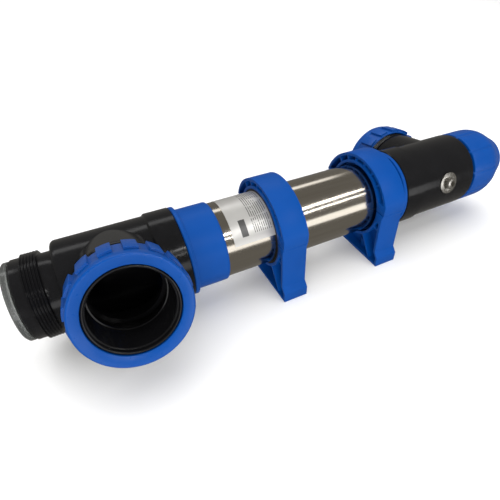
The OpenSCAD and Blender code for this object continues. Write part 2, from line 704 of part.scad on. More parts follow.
// ---------- cable gland ----------
module gland_body() {
    color([0.03, 0.03, 0.035]) at_outlet() difference() {
        union() {
            rod(gland_d / 2, inner_end - gland_locknut_t - 0.5, cap_end + gland_flange_t + 7);
            rod(gland_hex_d / 2, cap_end, cap_end + gland_flange_t, 6);
        }
        rod(cable_d / 2 + 0.6, inner_end - gland_locknut_t - 2, cap_end);
        rod(gland_d / 2 - 1.8, cap_end - 1, cap_end + gland_flange_t + 7 + cut);
    }
}
module gland_locknut() {
    color([0.03, 0.03, 0.035]) at_outlet() difference() {
        rod(gland_hex_d / 2 - 0.7, inner_end - gland_locknut_t, inner_end, 6);
        rod(gland_d / 2, inner_end - gland_locknut_t - cut, inner_end + cut);
    }
}
module gland_nut() {
    from = cap_end + gland_flange_t + 0.4;
    to = from + gland_nut_len;
    color([0.03, 0.03, 0.035]) at_outlet() difference() {
        intersection() {
            rod(gland_hex_d / 2, from, to, 6);
            lathe([[0, from], [gland_hex_d / 2, from], [gland_hex_d / 2, to - 5], [gland_hex_d / 2 - 4, to], [0, to]]);
        }
        rod(gland_d / 2 + 0.3, from - cut, cap_end + gland_flange_t + 7.4);
        rod(cable_d / 2 + 1, from, to + cut);
    }
}
module gland_grommet() {
    color([0.05, 0.05, 0.05]) at_outlet() tube(gland_d / 2 - 1.8, cable_d / 2, cap_end, cap_end + gland_flange_t + 6.6);
}

// ---------- earth bolt ----------
spot_out = tee_r - spot_depth;
spot_in = socket_r + 0.6;
earth_seal_r = 9;
module at_bolt() { translate([outlet_x + bolt_x, 0, axis_h]) rotate([0, -bolt_angle, -90]) children(); }
module earth_bolt() {
    color([0.75, 0.73, 0.7]) at_bolt() {
        seat = spot_out + washer_t;
        rod(bolt_d / 2, spot_in - 10.5, seat + 0.5);
        lathe([[0, seat], [bolt_d * 0.81, seat], [bolt_d * 0.81, seat + 3.2], [bolt_d * 0.7, seat + 4.8],
            [bolt_d * 0.4, seat + 5.3], [bolt_d * 0.4, seat + 2.5], [0, seat + 2.5]]);
    }
}
module earth_washer() {
    color([0.75, 0.73, 0.7]) at_bolt() tube(washer_d / 2, bolt_d / 2 + 0.2, spot_out, spot_out + washer_t);
}
module earth_seal() {
    color([0.05, 0.05, 0.05]) at_bolt() tube(earth_seal_r, bolt_d / 2 + 0.1, spot_in - 1.5, spot_in);
}
module earth_nut() {
    color([0.75, 0.73, 0.7]) at_bolt() difference() {
        rod(bolt_d * 0.94, spot_in - 8, spot_in - 1.5, 6);
        rod(bolt_d / 2, spot_in - 9, spot_in);
    }
}

// ---------- clamps ----------
// Flat shapes have y to the right and z up, and are given a width along the tube
module across(w, x = 0) { translate([x - w / 2, 0, 0]) rotate([90, 0, 90]) linear_extrude(height = w) children(); }
module disc(r, y, z) { translate([y, z]) circle(r = r); }
module box(y0, z0, y1, z1) { translate([y0, z0]) square([y1 - y0, z1 - z0]); }
module hoop_outline() {
    intersection() {
        disc(hoop_r, 0, hoop_z);
        box(-block_y, strap_bottom, hoop_r + 1, hoop_z + hoop_r + 1);
    }
}
module base_outline() {
    y = leg_y;
    foot = leg_y + foot_out;
    slope_top = foot_h + foot_slope_h;
    polygon([[-foot, 0], [foot, 0], [foot, foot_h], [y + 1.5, slope_top], [y, base_top - 4], [y, base_top],
        [-y - 1.2, base_top], [-y - 1.2, base_top - 3], [-y, base_top - 4.2], [-y - 1.5, slope_top], [-foot, foot_h]]);
}
module base_hollow() {
    y = leg_y - clamp_wall;
    slope_top = foot_h + foot_slope_h;
    polygon([[-y - foot_out, foot_t], [y + foot_out, foot_t], [y + foot_out, foot_h - 1], [y + 1.5, slope_top - 0.5],
        [y, base_top - 12], [-y, base_top - 12], [-y - 1.5, slope_top - 0.5], [-y - foot_out, foot_h - 1]]);
}
module saddle_ribs() {
    for (a = [-70, -35, 35, 70]) translate([0, axis_h]) rotate(a - 90)
        translate([hold_r + 1, -rib_t / 2]) square([hoop_r, rib_t]);
}
module tongue_outline(gap) {
    box(clamp_wall + 1.6 - leg_y - gap, base_top - tongue_len - gap, clamp_wall + 1.6 - leg_y + tongue_t + gap,
        strap_bottom + 1);
}
module clamp_base() {
    difference() {
        union() {
            across(clamp_w) difference() {
                base_outline();
                difference() {
                    base_hollow();
                    disc(hold_r + clamp_wall, 0, axis_h);
                }
            }
            across(clamp_web) base_outline();
            across(clamp_w - 2 * rib_recess) intersection() {
                base_outline();
                saddle_ribs();
            }
            for (side = [-1, 1]) translate([0, side * screw_gap / 2, 0])
                cylinder(d = screw_boss_d, h = screw_boss_h);
            for (side = [-1, 1]) across(ear_w, side * (clamp_w - ear_w) / 2) {
                disc(knuckle_d / 2, hinge_y, hinge_z);
                polygon([[leg_y - 2, base_top], [hinge_y, hinge_z + knuckle_d / 2], [hinge_y + knuckle_d / 2, hinge_z],
                    [leg_y - 2, hinge_z - 14]]);
            }
        }
        across(clamp_w + 2) disc(hold_r, 0, axis_h);
        across(clamp_w + 2) disc(hinge_pin_d / 2, hinge_y, hinge_z);
        across(knuckle_w + 2 * knuckle_gap) disc(knuckle_d / 2 + knuckle_gap, hinge_y, hinge_z);
        across(knuckle_w + 2 * knuckle_gap) tongue_outline(0.6);
        for (side = [-1, 1]) translate([0, side * screw_gap / 2, 0]) {
            translate([0, 0, -cut]) cylinder(d = screw_d, h = screw_boss_h + 2 * cut);
            translate([0, 0, screw_boss_h]) cylinder(d = screw_boss_d - 0.6, h = axis_h);
        }
    }
}
module clamp_strap() {
    difference() {
        union() {
            across(clamp_w) difference() {
                intersection() {
                    hoop_outline();
                    union() {
                        box(-hoop_r, strap_bottom, 0, hoop_z + hoop_r);
                        box(0, hoop_rear_bottom, hoop_r, hoop_z + hoop_r);
                    }
                }
                difference() {
                    disc(hoop_r - clamp_wall, 0, hoop_z);
                    disc(hold_r + clamp_wall, 0, axis_h);
                    box(-hoop_r, strap_bottom, -hold_r * 0.9, hoop_z + 22);
                    box(0, 0, hoop_r, hoop_rear_bottom + clamp_wall);
                }
            }
            across(clamp_web) intersection() {
                hoop_outline();
                union() {
                    box(-hoop_r, strap_bottom, 0, hoop_z + hoop_r);
                    box(0, hoop_rear_bottom, hoop_r, hoop_z + hoop_r);
                }
            }
            across(clamp_w - 2 * rib_recess) intersection() {
                disc(hoop_r - 1, 0, hoop_z);
                box(-hoop_r, strap_bottom, hoop_r, hoop_z + hoop_r);
                union() for (a = [-2.5:1:2.5]) translate([0, axis_h]) rotate(90 + a * rib_step)
                    translate([hold_r + 1, -rib_t / 2]) square([hoop_r, rib_t]);
            }
            across(knuckle_w) {
                disc(knuckle_d / 2, hinge_y, hinge_z);
                intersection() {
                    hoop_outline();
                    box(hold_r - 2, strap_bottom, hoop_r, hoop_rear_bottom + 4);
                }
                polygon([[hinge_y, hinge_z], [hinge_y + knuckle_d / 2, hinge_z], [hinge_y + 2, hoop_rear_bottom],
                    [hinge_y - 8, hoop_rear_bottom], [hinge_y - 8, strap_bottom]]);
                tongue_outline(0);
            }
        }
        across(clamp_w + 2) disc(hold_r, 0, axis_h);
        across(clamp_w + 2) disc(hinge_pin_d / 2 + pin_gap, hinge_y, hinge_z);
    }
}
module clamp_pin() { translate([0, hinge_y, hinge_z]) rod(hinge_pin_d / 2, -clamp_w / 2, clamp_w / 2, 48); }
module at_outlet_clamp() { translate([clamp_gap, 0, 0]) children(); }
module inlet_clamp_base() { color([0, 0.2, 0.62]) clamp_base(); }
module inlet_clamp_strap() { color([0, 0.2, 0.62]) clamp_strap(); }
module inlet_clamp_pin() { color([0, 0.16, 0.5]) clamp_pin(); }
module inlet_clamp_liner() {
    r_in = tube_r + label_glue + label_t + 0.05;
    color([0.05, 0.05, 0.05]) translate([0, 0, axis_h]) tube(r_in + liner_t, r_in, -clamp_w / 2, clamp_w / 2);
}
module outlet_clamp_base() { color([0, 0.2, 0.62]) at_outlet_clamp() clamp_base(); }
module outlet_clamp_strap() { color([0, 0.2, 0.62]) at_outlet_clamp() clamp_strap(); }
module outlet_clamp_pin() { color([0, 0.16, 0.5]) at_outlet_clamp() clamp_pin(); }

inlet_tee();
outlet_tee();
inlet_sleeve();
outlet_sleeve();
reactor_tube();
rating_label();
inlet_sleeve_seal();
outlet_sleeve_seal();
window_collar();
sight_glass();
sight_glass_seal();
inlet_union_collar();
inlet_union_nut();
inlet_union_tail();
inlet_union_seal();
outlet_union_collar();
outlet_union_nut();
outlet_union_tail();
outlet_union_seal();
end_collar();
end_cap();
sleeve_seat();
sleeve_seat_seal();
quartz_sleeve();
quartz_seal();
quartz_nut();
quartz_support();
lamp_glass();
lamp_tip();
lamp_base();
lamp_pins();
lamp_wire();
lamp_socket();
gland_body();
gland_locknut();
gland_nut();
gland_grommet();
earth_bolt();
earth_washer();
earth_seal();
earth_nut();
inlet_clamp_base();
inlet_clamp_strap();
inlet_clamp_pin();
inlet_clamp_liner();
outlet_clamp_base();
outlet_clamp_strap();
outlet_clamp_pin();
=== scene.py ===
# %% [markdown]
# A flow-through UV clarifier: pond water enters one tee, passes a lamp inside a steel tube and leaves by
# the other tee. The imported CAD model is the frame. It could all be shown as it comes, but its edges are
# knife sharp. So the union nuts, their tails and the end cap are modelled again here, the other moulded
# pieces are softened copies, and the tees, the tube and the hidden pieces keep their CAD mesh with a new
# finish.

# %% Load the frame
import json
import math

import bpy
from mathutils import Matrix, Vector

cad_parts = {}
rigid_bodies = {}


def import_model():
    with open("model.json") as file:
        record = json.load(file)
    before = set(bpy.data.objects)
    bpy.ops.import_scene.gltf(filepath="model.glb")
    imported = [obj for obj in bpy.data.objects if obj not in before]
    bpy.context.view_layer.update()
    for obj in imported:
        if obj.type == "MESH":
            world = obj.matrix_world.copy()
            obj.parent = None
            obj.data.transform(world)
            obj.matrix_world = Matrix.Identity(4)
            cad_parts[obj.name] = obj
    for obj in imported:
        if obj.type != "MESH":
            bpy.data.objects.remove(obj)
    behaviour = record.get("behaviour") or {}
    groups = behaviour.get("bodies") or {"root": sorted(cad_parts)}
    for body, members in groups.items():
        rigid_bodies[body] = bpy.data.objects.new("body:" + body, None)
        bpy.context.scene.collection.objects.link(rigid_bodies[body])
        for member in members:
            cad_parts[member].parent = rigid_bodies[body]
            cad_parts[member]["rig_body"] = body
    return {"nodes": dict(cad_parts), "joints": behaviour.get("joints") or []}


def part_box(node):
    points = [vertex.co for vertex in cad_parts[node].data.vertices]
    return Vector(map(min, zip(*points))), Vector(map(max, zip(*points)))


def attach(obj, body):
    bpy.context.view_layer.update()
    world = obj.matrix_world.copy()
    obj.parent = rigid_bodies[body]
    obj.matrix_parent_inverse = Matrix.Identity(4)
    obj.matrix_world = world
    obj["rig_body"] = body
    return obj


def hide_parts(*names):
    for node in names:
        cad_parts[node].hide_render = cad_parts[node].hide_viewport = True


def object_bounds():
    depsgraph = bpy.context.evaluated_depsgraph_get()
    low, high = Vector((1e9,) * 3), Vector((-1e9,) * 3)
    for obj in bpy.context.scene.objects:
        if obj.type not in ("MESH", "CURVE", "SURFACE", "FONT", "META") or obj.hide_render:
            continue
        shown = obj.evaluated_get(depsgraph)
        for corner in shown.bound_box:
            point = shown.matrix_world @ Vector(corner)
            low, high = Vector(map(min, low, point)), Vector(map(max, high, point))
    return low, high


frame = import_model()
cad_low, cad_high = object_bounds()
nodes = frame["nodes"]
joints = {joint["name"]: joint for joint in frame["joints"]}
MM = 0.001
print("frame:", len(nodes), "nodes, box", [round(v / MM, 1) for v in (*cad_low, *cad_high)])

# %% [markdown]
# The camera comes first, because every later choice is judged through it. It stands in front of the
# inlet, a little left, and looks down at 42 degrees. A camera could be aimed by hand, but a lens, a place
# and three angles say the same thing in numbers that can be changed one at a time.

# %% Camera
CAMERA_PLACE = Vector((-0.1540, -0.2926, 0.3067))
CAMERA_TURN = math.radians(-27.18)
CAMERA_DROP = math.radians(42.13)
CAMERA_ROLL = math.radians(-0.2)
camera_data = bpy.data.cameras.new("camera")
camera = bpy.data.objects.new("camera", camera_data)
bpy.context.scene.collection.objects.link(camera)
camera_data.sensor_width = 36
camera_data.lens = 28.17
camera_data.shift_x = -0.0361
camera_data.shift_y = 0.0218
camera_data.clip_start = 0.01
camera_data.clip_end = 50
camera.matrix_world = (
    Matrix.Translation(CAMERA_PLACE)
    @ Matrix.Rotation(CAMERA_TURN, 4, "Z")
    @ Matrix.Rotation(math.pi / 2 - CAMERA_DROP, 4, "X")
    @ Matrix.Rotation(CAMERA_ROLL, 4, "Z")
)
bpy.context.scene.camera = camera
print("camera lens", camera_data.lens, "mm at", [round(v, 3) for v in CAMERA_PLACE])

# %% [markdown]
# The floor is one wide pale sheet, so that no edge or horizon shows behind the part. A backdrop with a
# curved corner would do the same, but the camera looks down so steeply that it only ever sees the floor.
# The sheet is kept out of mirror-like reflections, because a white floor in gloss black plastic would
# make it look grey.

# %% Floor
def deselect_all():
    if bpy.context.object and bpy.context.object.mode != "OBJECT":
        bpy.ops.object.mode_set(mode="OBJECT")
    bpy.ops.object.select_all(action="DESELECT")


deselect_all()
bpy.ops.mesh.primitive_plane_add(size=24, location=(0, 0, cad_low.z))
floor = bpy.context.object
floor.name = "floor"
floor.visible_glossy = False
print("floor at z =", round(cad_low.z / MM, 2), "mm")

# %% [markdown]
# The light: a wide soft lamp overhead and one in front only fill. They are hidden from mirror-like
# reflections, so they can't wash the black plastic grey. Two long narrow lamps draw the pair of bright
# lines along the tube, because a polished cylinder shows a lamp as a line, and two dimmer cards give it a
# pale band at the top and low down. A bright sky all round would be simpler, but gloss black plastic
# under it looks grey, so the room is dim.

# %% Light
def area_light(name, place, aim, size_x, size_y, watts, mirrored=True):
    data = bpy.data.lights.new(name, "AREA")
    data.shape = "RECTANGLE"
    data.size, data.size_y, data.energy = size_x, size_y, watts
    lamp = bpy.data.objects.new(name, data)
    bpy.context.scene.collection.objects.link(lamp)
    lamp.location = place
    lamp.rotation_euler = (Vector(aim) - Vector(place)).to_track_quat("-Z", "Y").to_euler()
    lamp.visible_glossy = mirrored
    print("light", name, watts, "W")


TUBE_SPOT = (0.1, 0, 0.06)
area_light("overhead", (0, 0.9, 2.8), (0, 0, 0), 5.0, 5.0, 160, mirrored=False)
area_light("front_fill", (-0.9, -2.0, 0.8), (-0.15, 0, 0.05), 1.6, 1.0, 36, mirrored=False)
area_light("upper_strip", (0.45, -0.80, 1.02), TUBE_SPOT, 0.9, 0.05, 3)
area_light("lower_strip", (0.45, -1.0, 0.80), TUBE_SPOT, 0.9, 0.03, 1.6)
area_light("back_card", (0.1, 1.3, 1.5), TUBE_SPOT, 2.4, 0.4, 5)
area_light("low_card", (0.3, -1.5, 0.12), TUBE_SPOT, 2.4, 0.5, 7)
world = bpy.data.worlds.new("room")
bpy.context.scene.world = world
world.use_nodes = True
room = world.node_tree.nodes["Background"]
room.inputs["Color"].default_value = (0.60, 0.58, 0.54, 1)
room.inputs["Strength"].default_value = 0.34
bpy.context.scene.view_settings.view_transform = "Standard"

# %% [markdown]
# Every finish is a small recipe of nodes on Object coordinates, which for these pieces are the frame's
# own metres: a slow noise shifts the colour, a middle one changes the gloss where hands and cloths have
# been, and a fine one is the grain of the mould. One helper builds them all, so that each finish below is
# only its own numbers. A painted image could do it too, but noise has no seams and no size limit.

# %% A helper for finishes
def finish(name, colour, other, gloss, grain=900, bump=0.05, stretch=(1, 1, 1), patch=35, metallic=0.0,
           grain_depth=0.00012, scuff=0.0, scuff_colour=(0.6, 0.6, 0.6), **sockets):
    """Two colours mixed by a slow noise, gloss between two roughnesses, a fine bump, and scuffs."""
    material = bpy.data.materials.new(name)
    material.use_nodes = True
    tree = material.node_tree
    shader = tree.nodes["Principled BSDF"]

    def node(kind, **values):
        made = tree.nodes.new(kind)
        for key, value in values.items():
            if key in made.inputs:
                made.inputs[key].default_value = value
            else:
                setattr(made, key, value)
        return made

    place = node("ShaderNodeTexCoord")
    turned = node("ShaderNodeMapping", Scale=stretch)
    tree.links.new(place.outputs["Object"], turned.inputs["Vector"])
    slow = node("ShaderNodeTexNoise", Scale=patch, Detail=3.0, Roughness=0.55)
    fine = node("ShaderNodeTexNoise", Scale=grain, Detail=2.0, Roughness=0.5)
    rubs = node("ShaderNodeTexNoise", Scale=patch * 6, Detail=6.0, Roughness=0.65, Distortion=0.4)
    for noise in (slow, fine, rubs):
        tree.links.new(turned.outputs["Vector"], noise.inputs["Vector"])

    blend = node("ShaderNodeMix", data_type="RGBA")
    blend.inputs["A"].default_value = (*colour, 1)
    blend.inputs["B"].default_value = (*other, 1)
    tree.links.new(slow.outputs["Fac"], blend.inputs["Factor"])
    colour_out = blend.outputs["Result"]
    if scuff:
        where = node("ShaderNodeMapRange")
        where.inputs["From Min"].default_value, where.inputs["From Max"].default_value = 0.55, 0.95
        where.inputs["To Max"].default_value = scuff
        tree.links.new(rubs.outputs["Fac"], where.inputs["Value"])
        worn = node("ShaderNodeMix", data_type="RGBA")
        worn.inputs["B"].default_value = (*scuff_colour, 1)
        tree.links.new(where.outputs["Result"], worn.inputs["Factor"])
        tree.links.new(colour_out, worn.inputs["A"])
        colour_out = worn.outputs["Result"]
    tree.links.new(colour_out, shader.inputs["Base Color"])

    smooth = node("ShaderNodeMapRange")
    smooth.inputs["From Min"].default_value, smooth.inputs["From Max"].default_value = 0.3, 0.7
    smooth.inputs["To Min"].default_value, smooth.inputs["To Max"].default_value = gloss
    tree.links.new(rubs.outputs["Fac"], smooth.inputs["Value"])
    tree.links.new(smooth.outputs["Result"], shader.inputs["Roughness"])

    relief = node("ShaderNodeBump", Strength=bump, Distance=grain_depth)
    tree.links.new(fine.outputs["Fac"], relief.inputs["Height"])
    tree.links.new(relief.outputs["Normal"], shader.inputs["Normal"])
    shader.inputs["Metallic"].default_value = metallic
    for socket, value in sockets.items():
        shader.inputs[socket.replace("_", " ")].default_value = value
    return material


# %% [markdown]
# The finishes themselves. The pressure fittings are gloss black PVC, the clamps and sleeves are satin
# blue, and the union nuts and the end cap are the same blue a little glossier, because they come from
# another mould. The steel is drawn along the tube, so its grain is a noise pulled long in X.

# %% Finishes
BLUE, DEEP_BLUE = (0.0004, 0.058, 0.285), (0.0003, 0.047, 0.235)
BLACK, GREY_BLACK = (0.0035, 0.0035, 0.004), (0.008, 0.008, 0.009)
finishes = {
    "black_pvc": finish("black_pvc", BLACK, GREY_BLACK, (0.12, 0.22), bump=0.08, scuff=0.1,
                        scuff_colour=(0.03, 0.03, 0.033), Specular_IOR_Level=0.28),
    "blue_plastic": finish("blue_plastic", BLUE, DEEP_BLUE, (0.38, 0.5), bump=0.16, grain=1400, scuff=0.06,
                           scuff_colour=(0.02, 0.1, 0.42), Specular_IOR_Level=0.15),
    "blue_nut_plastic": finish("blue_nut_plastic", BLUE, DEEP_BLUE, (0.26, 0.38), bump=0.1, grain=1400,
                               scuff=0.08, scuff_colour=(0.002, 0.075, 0.34), Specular_IOR_Level=0.3),
    "stainless": finish("stainless", (0.44, 0.40, 0.34), (0.54, 0.50, 0.44), (0.12, 0.18), metallic=1.0,
                        stretch=(1, 24, 24), patch=9, grain=120, bump=0.02, grain_depth=0.00003),
    "bolt_steel": finish("bolt_steel", (0.52, 0.5, 0.47), (0.4, 0.39, 0.36), (0.2, 0.34), metallic=1.0,
                         grain=2600, bump=0.2),
    "foil": finish("foil", (0.5, 0.49, 0.47), (0.6, 0.59, 0.57), (0.3, 0.42), metallic=0.6, grain=500,
                   bump=0.08),
    "rubber": finish("rubber", (0.006, 0.006, 0.006), (0.012, 0.012, 0.012), (0.55, 0.7), grain=2000,
                     bump=0.2),
    "clear_glass": finish("clear_glass", (0.30, 0.31, 0.30), (0.16, 0.17, 0.165), (0.06, 0.16), bump=0.02,
                          Transmission_Weight=0.75, IOR=1.49),
    "quartz": finish("quartz", (0.96, 0.98, 1.0), (0.9, 0.95, 0.98), (0.01, 0.05), bump=0.01,
                     Transmission_Weight=1.0, IOR=1.46),
    "lamp_glass": finish("lamp_glass", (0.92, 0.95, 1.0), (0.85, 0.9, 0.97), (0.05, 0.14), bump=0.02,
                         Transmission_Weight=0.9, IOR=1.46),
    "white_plastic": finish("white_plastic", (0.78, 0.78, 0.76), (0.7, 0.7, 0.67), (0.35, 0.5), bump=0.1),
    "ceramic": finish("ceramic", (0.84, 0.83, 0.8), (0.76, 0.74, 0.7), (0.15, 0.3), bump=0.05),
    "contact_brass": finish("contact_brass", (0.72, 0.52, 0.2), (0.6, 0.42, 0.15), (0.2, 0.35), metallic=1.0),
    "lead_wire": finish("lead_wire", (0.6, 0.6, 0.6), (0.45, 0.45, 0.45), (0.25, 0.4), metallic=1.0),
    "gland_plastic": finish("gland_plastic", (0.012, 0.012, 0.013), (0.02, 0.02, 0.022), (0.35, 0.5),
                            bump=0.2, grain=1600),
}
print(len(finishes), "finishes")

# %% [markdown]
# The record names a finish for every piece, and the imported materials carry those names. Each CAD node
# gets the finish of the same name. It could be done node by node, but then a new node would be easy to
# forget.

# %% Give every CAD node the finish of its slot
for name, part in nodes.items():
    for place in part.material_slots:
        place.material = finishes[place.material.name.split(".")[0]]
print("slots used:", sorted({m.material.name for part in nodes.values() for m in part.material_slots}))

# %% [markdown]
# The label is printed with thin rules that run round the tube, and one dark block at its left end. It
# could be a picture, but it is only lines, so it is drawn by arithmetic on the place of each point: a
# wave along X makes the rules, and limits on X and Z say where the print starts and stops. A noise breaks
# the rules up a little.

# %% Print on the label
label_low, label_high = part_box("rating_label")
RULE_PITCH = 2.1 * MM
PRINT_FROM, PRINT_TO = label_low.x + 22 * MM, label_low.x + 41 * MM
BLOCK_FROM, BLOCK_TO = label_low.x + 9 * MM, label_low.x + 15.5 * MM
RULES_ABOVE, BLOCK_MARGIN = 7 * MM, 6 * MM
RULE_SHARE, WORD_SHARE, INK_STRENGTH = 0.34, 0.42, 0.85


def print_label(material):
    tree = material.node_tree
    shader = tree.nodes["Principled BSDF"]
    place = tree.nodes.new("ShaderNodeTexCoord")
    split = tree.nodes.new("ShaderNodeSeparateXYZ")
    tree.links.new(place.outputs["Object"], split.inputs["Vector"])

    def calc(operation, first, second):
        made = tree.nodes.new("ShaderNodeMath")
        made.operation = operation
        for socket, value in zip(made.inputs, (first, second)):
            if isinstance(value, (int, float)):
                socket.default_value = value
            else:
                tree.links.new(value, socket)
        return made.outputs["Value"]

    def between(value, low, high):
        return calc("MULTIPLY", calc("GREATER_THAN", value, low), calc("LESS_THAN", value, high))

    along = split.outputs["X"]
    ragged = tree.nodes.new("ShaderNodeTexNoise")
    ragged.inputs["Scale"].default_value = 420
    stretched = tree.nodes.new("ShaderNodeMapping")
    stretched.inputs["Scale"].default_value = (0.2, 1, 1)
    tree.links.new(place.outputs["Object"], stretched.inputs["Vector"])
    tree.links.new(stretched.outputs["Vector"], ragged.inputs["Vector"])
    phase = calc("FRACT", calc("DIVIDE", calc("SUBTRACT", along, PRINT_FROM), RULE_PITCH), 0)
    rules = calc("MULTIPLY", calc("LESS_THAN", phase, RULE_SHARE), between(along, PRINT_FROM, PRINT_TO))
    rules = calc("MULTIPLY", rules, calc("GREATER_THAN", ragged.outputs["Fac"], WORD_SHARE))
    height = split.outputs["Z"]
    rules = calc("MULTIPLY", rules, calc("GREATER_THAN", height, label_low.z + RULES_ABOVE))
    block = calc("MULTIPLY", between(along, BLOCK_FROM, BLOCK_TO),
                   between(height, label_low.z + BLOCK_MARGIN, label_high.z - BLOCK_MARGIN))
    ink = calc("MULTIPLY", calc("MAXIMUM", rules, block), INK_STRENGTH)
    inked = tree.nodes.new("ShaderNodeMix")
    inked.data_type = "RGBA"
    inked.inputs["B"].default_value = (0.012, 0.012, 0.014, 1)
    tree.links.new(ink, inked.inputs["Factor"])
    tree.links.new(shader.inputs["Base Color"].links[0].from_socket, inked.inputs["A"])
    tree.links.new(inked.outputs["Result"], shader.inputs["Base Color"])


print_label(finishes["foil"])
print("label print from", round(BLOCK_FROM / MM, 1), "to", round(PRINT_TO / MM, 1), "mm")

# %% [markdown]
# Most moulded pieces have the right shape already, and lack only the small radius that every mould leaves
# on an edge. They could be modelled again, but a copy of the CAD mesh with its loose triangles merged,
# its flat areas made one face and a bevel on every sharp edge gives the same softness with no new
# mistakes.

# %% Soften the moulded pieces
def place_and_name(piece, node, slot):
    """The piece rides where the node does, stands for it and takes the finish of that slot."""
    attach(piece, nodes[node]["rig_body"])
    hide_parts(node)
    piece.data.materials.clear()
    piece.data.materials.append(finishes[slot])


def soften(node, radius, segments=2, sharp=32):
    deselect_all()
    slot = nodes[node].material_slots[0].material.name.split(".")[0]
    piece = bpy.data.objects.new("soft_" + node, nodes[node].data.copy())
    bpy.context.scene.collection.objects.link(piece)
    piece.select_set(True)
    bpy.context.view_layer.objects.active = piece
    bpy.ops.object.mode_set(mode="EDIT")
    bpy.ops.mesh.select_all(action="SELECT")
    bpy.ops.mesh.remove_doubles(threshold=2e-6)
    bpy.ops.mesh.dissolve_limited(angle_limit=math.radians(0.6))
    bpy.ops.object.mode_set(mode="OBJECT")
    edge = piece.modifiers.new("edge", "BEVEL")
    edge.width, edge.segments = radius, segments
    edge.limit_method, edge.angle_limit = "ANGLE", math.radians(sharp)
    edge.use_clamp_overlap = True
    bpy.ops.object.modifier_apply(modifier=edge.name)
    bpy.ops.object.shade_smooth_by_angle(angle=math.radians(sharp))
    place_and_name(piece, node, slot)
    print(node, len(piece.data.polygons), "faces")
    return piece


EDGE_RADII = {
    0.6: ("inlet_sleeve", "outlet_sleeve"),
    0.22: ("window_collar", "inlet_union_collar", "outlet_union_collar", "end_collar"),
    0.45: ("inlet_clamp_base", "inlet_clamp_strap", "outlet_clamp_base", "outlet_clamp_strap"),
    0.25: ("gland_body", "gland_nut", "gland_locknut", "earth_nut", "earth_washer", "quartz_nut"),
}
for radius, softened in EDGE_RADII.items():
    for node in softened:
        soften(node, radius * MM)

# %% [markdown]
# Nuts, tails, caps and glass are turned shapes. Each could be spun from a profile, but the way here is
# closer to working by hand: one ring of points is extruded again and again, moved along the axis and
# scaled to the next radius, and the last ring is bridged to the first, so the wall is closed. The pieces
# are made standing on the origin and laid along their real axis when they are finished.

# %% A ring that is extruded along a profile
def start_ring(name, radius, height, sides):
    deselect_all()
    bpy.ops.mesh.primitive_circle_add(vertices=sides, radius=radius, location=(0, 0, 0))
    piece = bpy.context.object
    piece.name = name
    bpy.ops.object.mode_set(mode="EDIT")
    bpy.ops.mesh.select_all(action="SELECT")
    bpy.ops.transform.translate(value=(0, 0, height))
    return piece


def turned(name, profile, sides=96):
    """A closed ring-shaped solid from (radius, height) points in millimetres, in order round the section."""
    points = [(radius * MM, height * MM) for radius, height in profile]
    piece = start_ring(name, *points[0], sides)
    for (radius_before, before), (radius, height) in zip(points, points[1:]):
        bpy.ops.mesh.extrude_edges_move(TRANSFORM_OT_translate={"value": (0, 0, height - before)})
        scale = radius / radius_before
        bpy.ops.transform.resize(value=(scale, scale, 1), center_override=(0, 0, 0))
    bpy.ops.mesh.select_all(action="DESELECT")
    bpy.ops.mesh.select_mode(type="EDGE")
    bpy.ops.mesh.select_non_manifold()
    bpy.ops.mesh.bridge_edge_loops()
    bpy.ops.mesh.select_all(action="SELECT")
    bpy.ops.mesh.normals_make_consistent(inside=False)
    bpy.ops.mesh.select_mode(type="FACE")
    bpy.ops.object.mode_set(mode="OBJECT")
    return piece


def round_edges(piece, radius, segments=3, sharp=30):
    deselect_all()
    piece.select_set(True)
    bpy.context.view_layer.objects.active = piece
    edge = piece.modifiers.new("edge", "BEVEL")
    edge.width, edge.segments = radius * MM, segments
    edge.limit_method, edge.angle_limit = "ANGLE", math.radians(sharp)
    bpy.ops.object.modifier_apply(modifier=edge.name)
    bpy.ops.object.shade_smooth_by_angle(angle=math.radians(sharp))


def unpick(piece):
    """Makes the piece active, with none of its points, edges or faces selected."""
    deselect_all()
    piece.select_set(True)
    bpy.context.view_layer.objects.active = piece
    bpy.ops.object.mode_set(mode="EDIT")
    bpy.ops.mesh.select_all(action="DESELECT")
    bpy.ops.object.mode_set(mode="OBJECT")


def lay_along(piece, origin, axis):
    """Moves the finished mesh so that its own Z lies on the axis and its height 0 on the origin."""
    turn = Vector((0, 0, 1)).rotation_difference(Vector(axis)).to_matrix().to_4x4()
    piece.data.transform(Matrix.Translation(origin) @ turn)
    piece.data.update()


def along(node, origin, axis):
    """A node's lowest and highest place along an axis, and its smallest and largest radius, in mm."""
    axis = Vector(axis).normalized()
    steps = [(v.co - origin) for v in nodes[node].data.vertices]
    heights = [step.dot(axis) for step in steps]
    radii = [(step - axis * height).length for step, height in zip(steps, heights)]
    return [round(v / MM, 3) for v in (min(heights), max(heights), min(radii), max(radii))]


AXIS_HEIGHT = joints["cap_turn"]["pos_m"][2]
branches = {}
for side in ("inlet", "outlet"):
    joint = joints[side + "_nut_turn"]
    branches[side] = (Vector((joint["pos_m"][0], 0, AXIS_HEIGHT)), Vector(joint["axis"]).normalized())
    print(side, "nut", along(side + "_union_nut", *branches[side]))
